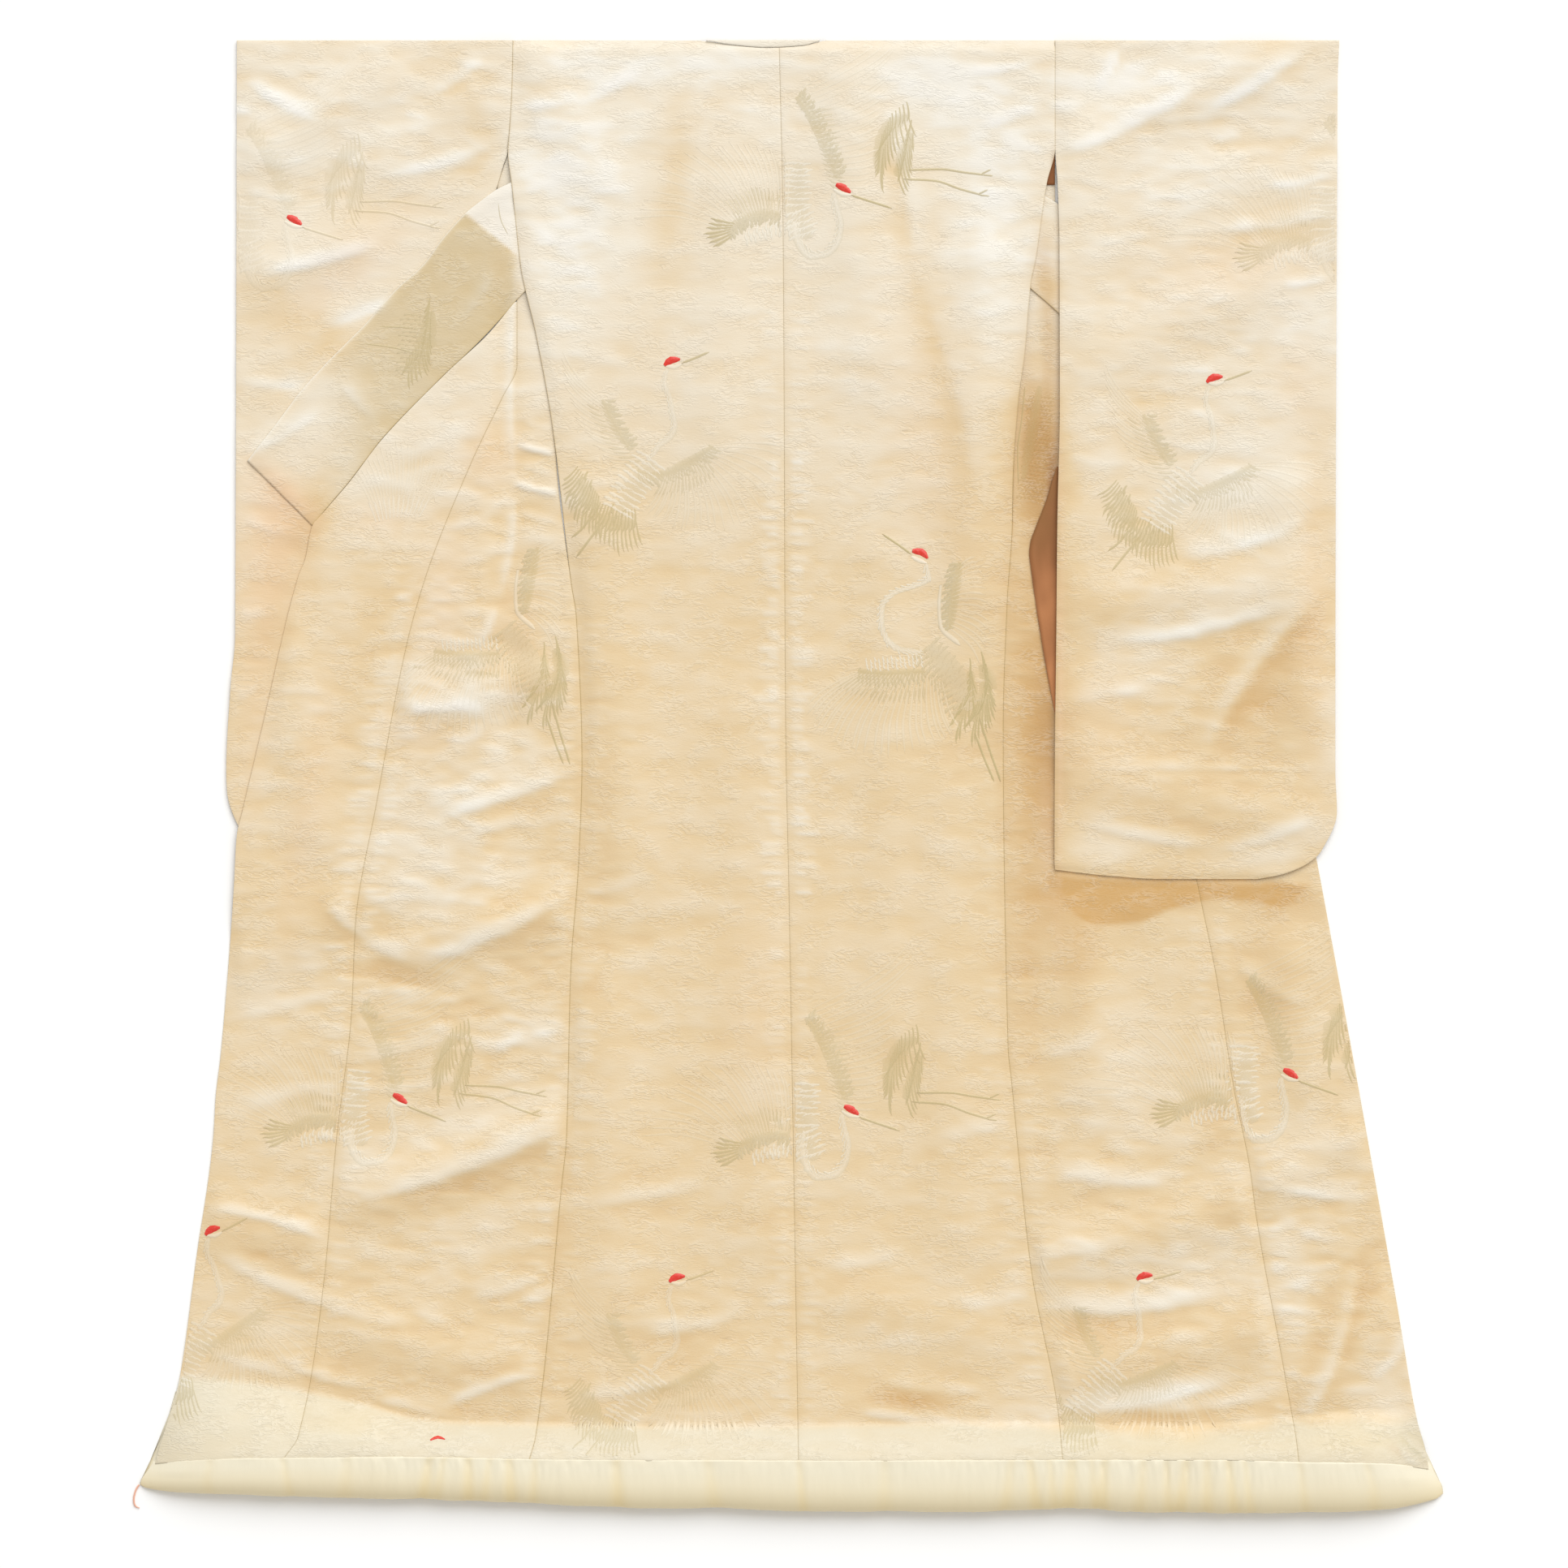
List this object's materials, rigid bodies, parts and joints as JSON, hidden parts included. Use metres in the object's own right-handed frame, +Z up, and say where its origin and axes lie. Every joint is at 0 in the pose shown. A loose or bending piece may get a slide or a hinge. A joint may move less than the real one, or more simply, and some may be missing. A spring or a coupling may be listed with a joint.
{
  "type": "uchikake kimono",
  "caption": "Uchikake wedding over-kimono of cream and gold crane brocade with a padded satin hem roll, laid flat with its back upwards.",
  "frame": {"origin": "on the surface the garment lies on, under the middle of its outline", "axes": "+Z up from that surface, +Y towards the shoulders, -X towards the wearer's left side"},
  "size_m": [1.6142, 1.8134, 0.034],
  "materials": {
    "brocade": "silk satin brocade",
    "hem_satin": "smooth silk satin over wadding",
    "pink_lining": "matt silk lining"
  },
  "bodies": {
    "root": {"back_left": "brocade", "back_right": "brocade", "front_left": "brocade", "front_right": "brocade", "okumi_left": "brocade", "okumi_right": "brocade", "sleeve_left_back": "brocade", "sleeve_left_front": "brocade", "sleeve_right_back": "brocade", "sleeve_right_front": "brocade", "collar_left": "brocade", "collar_back": "brocade", "collar_right": "brocade", "hem_okumi_left": "hem_satin", "hem_front_left": "hem_satin", "hem_back_left": "hem_satin", "hem_back_right": "hem_satin", "hem_front_right": "hem_satin", "hem_okumi_right": "hem_satin", "lining_opening": "pink_lining", "lining_opening_top": "pink_lining", "hem_thread": "pink_lining"}
  },
  "joints": []
}
